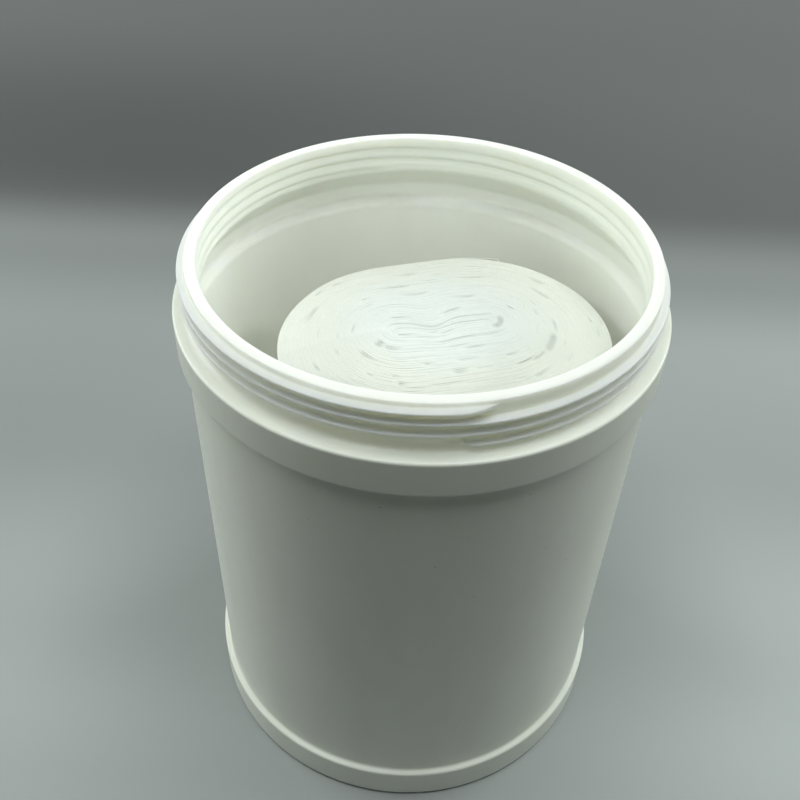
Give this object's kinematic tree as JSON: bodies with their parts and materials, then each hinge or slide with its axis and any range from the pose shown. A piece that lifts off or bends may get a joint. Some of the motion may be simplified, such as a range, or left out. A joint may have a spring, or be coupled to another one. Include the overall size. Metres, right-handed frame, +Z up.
{
  "type": "countertop wipes dispenser",
  "caption": "Open screw-neck plastic canister that stands on a counter and holds an upright coreless roll of wipes, pulled one by one from the roll's centre.",
  "frame": {"origin": "centre of the canister's base, on the surface that it stands on", "axes": "+Z up along the canister's axis, -Y towards the viewer of the picture, +X to the viewer's right"},
  "size_m": [0.1502, 0.1502, 0.193],
  "materials": {
    "canister_plastic": "white blow-moulded polyethylene, fine satin grain",
    "wipes_web": "dry off-white nonwoven web seen from its cut edges"
  },
  "bodies": {
    "canister": {"canister": "canister_plastic"},
    "roll": {"wipes_roll": "wipes_web", "tail_wipe": "wipes_web"},
    "lead_wipe": {"lead_wipe": "wipes_web"}
  },
  "joints": [
    {"name": "roll_lift", "type": "slide", "parent": "canister", "child": "roll", "axis": [0, 0, 1], "range_m": [0, 0.21]},
    {"name": "lead_wipe_pull", "type": "slide", "parent": "roll", "child": "lead_wipe", "axis": [0, 0, 1], "range_m": [0, 0.165]}
  ]
}
